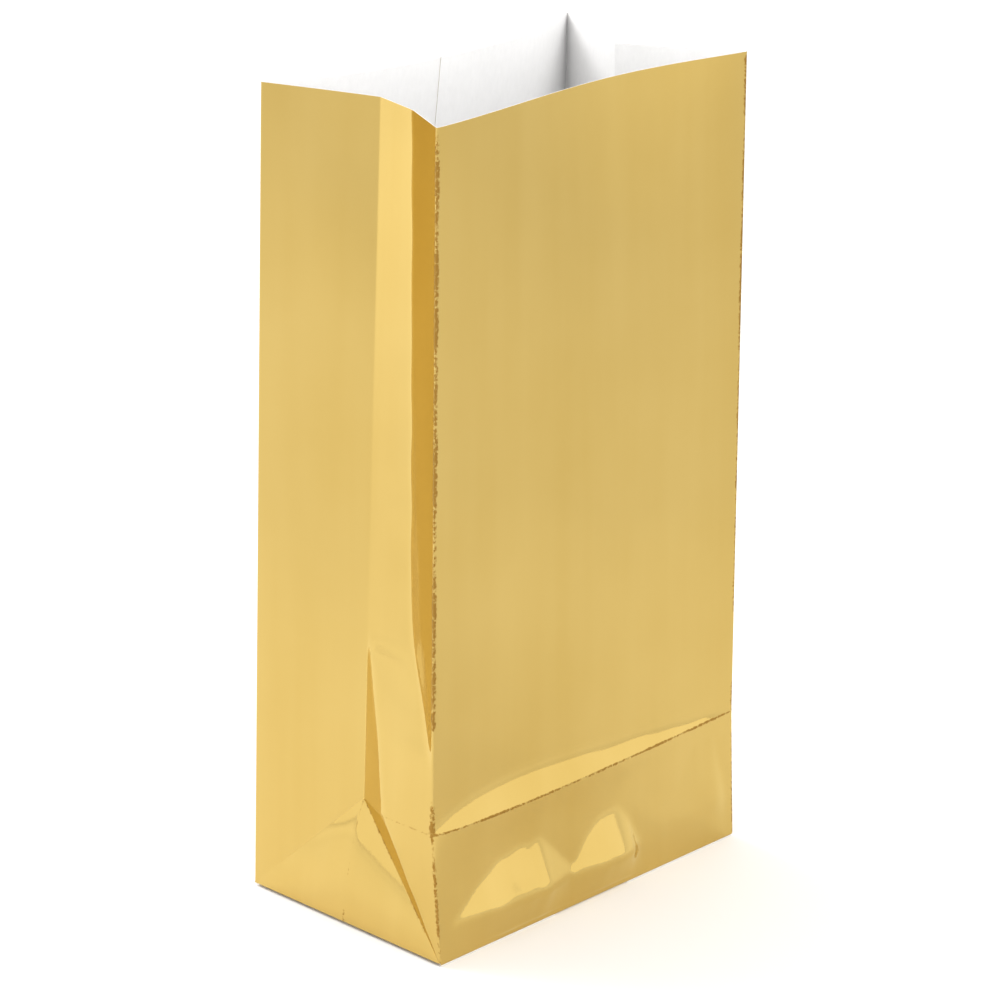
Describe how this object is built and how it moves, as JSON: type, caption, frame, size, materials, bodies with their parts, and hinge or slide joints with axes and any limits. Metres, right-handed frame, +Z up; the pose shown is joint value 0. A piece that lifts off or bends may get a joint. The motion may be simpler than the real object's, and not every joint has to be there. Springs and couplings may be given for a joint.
{
  "type": "gift bag",
  "caption": "Small open gift bag of gold foil paper, white inside, with tucked-in side gussets and a flat folded bottom; it folds flat.",
  "frame": {"origin": "middle of the bottom, on the surface the bag stands on", "axes": "+X across the bag, +Y from the front panel to the back panel, +Z up to the open mouth"},
  "size_m": [0.133, 0.08, 0.254],
  "materials": {
    "gold_foil": "satin",
    "white_paper": "matte",
    "glue": "satin"
  },
  "bodies": {
    "back": {"back_left_panel_paper": "white_paper", "back_left_panel_foil": "gold_foil", "back_right_panel_paper": "white_paper", "back_right_panel_foil": "gold_foil", "back_seam_glue": "glue"},
    "bottom": {"bottom_left_tuck_paper": "white_paper", "bottom_left_tuck_foil": "gold_foil", "bottom_right_tuck_paper": "white_paper", "bottom_right_tuck_foil": "gold_foil", "bottom_rear_webs_paper": "white_paper", "bottom_rear_webs_foil": "gold_foil", "bottom_inner_flap_paper": "white_paper", "bottom_inner_flap_foil": "gold_foil", "bottom_front_webs_paper": "white_paper", "bottom_front_webs_foil": "gold_foil", "bottom_outer_flap_paper": "white_paper", "bottom_outer_flap_foil": "gold_foil", "bottom_paste": "glue"},
    "left_gusset_rear": {"left_gusset_rear_paper": "white_paper", "left_gusset_rear_foil": "gold_foil"},
    "left_gusset_front": {"left_gusset_front_paper": "white_paper", "left_gusset_front_foil": "gold_foil"},
    "right_gusset_rear": {"right_gusset_rear_paper": "white_paper", "right_gusset_rear_foil": "gold_foil"},
    "right_gusset_front": {"right_gusset_front_paper": "white_paper", "right_gusset_front_foil": "gold_foil"},
    "front_panel": {"front_panel_paper": "white_paper", "front_panel_foil": "gold_foil"},
    "front_foot": {"front_foot_paper": "white_paper", "front_foot_foil": "gold_foil"},
    "left_corner": {"left_corner_paper": "white_paper", "left_corner_foil": "gold_foil"},
    "right_corner": {"right_corner_paper": "white_paper", "right_corner_foil": "gold_foil"},
    "left_foot": {"left_foot_paper": "white_paper", "left_foot_foil": "gold_foil"},
    "right_foot": {"right_foot_paper": "white_paper", "right_foot_foil": "gold_foil"}
  },
  "joints": [
    {"name": "bottom_fold", "type": "hinge", "parent": "back", "child": "bottom", "pos_m": [0, 0.0398, 0.0012], "axis": [-1, 0, 0], "range_deg": [0, 63.6]},
    {"name": "left_rear_crease", "type": "hinge", "parent": "back", "child": "left_gusset_rear", "pos_m": [-0.0663, 0.0398, 0], "axis": [0, 0, 1], "range_deg": [0, 64.6]},
    {"name": "left_middle_crease", "type": "hinge", "parent": "left_gusset_rear", "child": "left_gusset_front", "pos_m": [-0.05452, 0.00178, 0], "axis": [0, 0, -1], "range_deg": [0, 129.2]},
    {"name": "left_front_crease", "type": "hinge", "parent": "left_gusset_front", "child": "front_panel", "pos_m": [-0.0663, -0.03624, 0], "axis": [0, 0, 1], "range_deg": [0, 64.6]},
    {"name": "right_rear_crease", "type": "hinge", "parent": "back", "child": "right_gusset_rear", "pos_m": [0.0663, 0.0398, 0], "axis": [0, 0, -1], "range_deg": [0, 64.6]},
    {"name": "right_middle_crease", "type": "hinge", "parent": "right_gusset_rear", "child": "right_gusset_front", "pos_m": [0.05452, 0.00178, 0], "axis": [0, 0, 1], "range_deg": [0, 129.2]},
    {"name": "front_foot_crease", "type": "hinge", "parent": "bottom", "child": "front_foot", "pos_m": [0, -0.0398, 0.0012], "axis": [-1, 0, 0], "range_deg": [0, 73.7], "deforming": ["front_foot_paper", "front_foot_foil"]},
    {"name": "left_foot_crease", "type": "hinge", "parent": "bottom", "child": "left_foot", "pos_m": [-0.0663, 0, 0.0012], "axis": [0, 1, 0], "range_deg": [0, 54.6], "deforming": ["left_foot_paper", "left_foot_foil"]},
    {"name": "right_foot_crease", "type": "hinge", "parent": "bottom", "child": "right_foot", "pos_m": [0.0663, 0, 0.0012], "axis": [0, -1, 0], "range_deg": [0, 54.6], "deforming": ["right_foot_paper", "right_foot_foil"]},
    {"name": "left_corner_crease", "type": "hinge", "parent": "front_foot", "child": "left_corner", "pos_m": [-0.0663, -0.0398, 0.0012], "axis": [0, -0.0895, -0.996], "range_deg": [0, 66.2], "deforming": ["left_corner_paper", "left_corner_foil"]},
    {"name": "right_corner_crease", "type": "hinge", "parent": "front_foot", "child": "right_corner", "pos_m": [0.0663, -0.0398, 0.0012], "axis": [0, 0.0895, 0.996], "range_deg": [0, 66.2], "deforming": ["right_corner_paper", "right_corner_foil"]}
  ],
  "couplings": [
    {"joint": "left_rear_crease", "follows": "bottom_fold", "ratio": 1.0142},
    {"joint": "left_middle_crease", "follows": "bottom_fold", "ratio": 2.0284},
    {"joint": "left_front_crease", "follows": "bottom_fold", "ratio": 1.0142},
    {"joint": "right_rear_crease", "follows": "bottom_fold", "ratio": 1.0142},
    {"joint": "right_middle_crease", "follows": "bottom_fold", "ratio": 2.0284},
    {"joint": "front_foot_crease", "follows": "bottom_fold", "ratio": 1.1572},
    {"joint": "left_foot_crease", "follows": "bottom_fold", "ratio": 0.8569},
    {"joint": "right_foot_crease", "follows": "bottom_fold", "ratio": 0.8569},
    {"joint": "left_corner_crease", "follows": "bottom_fold", "ratio": 1.0393},
    {"joint": "right_corner_crease", "follows": "bottom_fold", "ratio": 1.0393}
  ]
}
